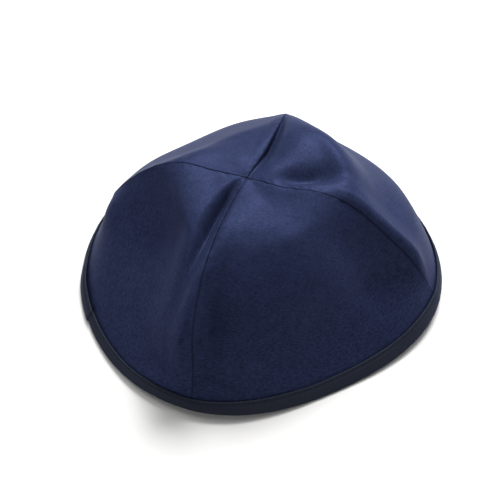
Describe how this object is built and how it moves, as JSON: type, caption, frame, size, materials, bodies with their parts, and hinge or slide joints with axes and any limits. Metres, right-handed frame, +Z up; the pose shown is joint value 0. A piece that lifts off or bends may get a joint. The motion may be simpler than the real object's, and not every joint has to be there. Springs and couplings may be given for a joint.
{
  "type": "kippah skullcap",
  "caption": "Satin skullcap of sewn wedge panels meeting at a flat crown, with a folded binding round the rim; open below for the head and resting on its rim.",
  "frame": {"origin": "on the surface that the cap rests on, under the middle of the cap's box", "axes": "+Z up through the crown; -Y is the side nearest the camera, where the front seam comes down; +X is the side of the right seam"},
  "size_m": [0.1724, 0.1796, 0.0684],
  "materials": {
    "satin": "navy satin weave, soft sheen",
    "binding_satin": "dark navy satin bias strip, folded and stitched"
  },
  "bodies": {
    "root": {"panel_front": "satin", "panel_left": "satin", "panel_back_left": "satin", "panel_back_right": "satin", "rim_binding": "binding_satin"}
  },
  "joints": []
}
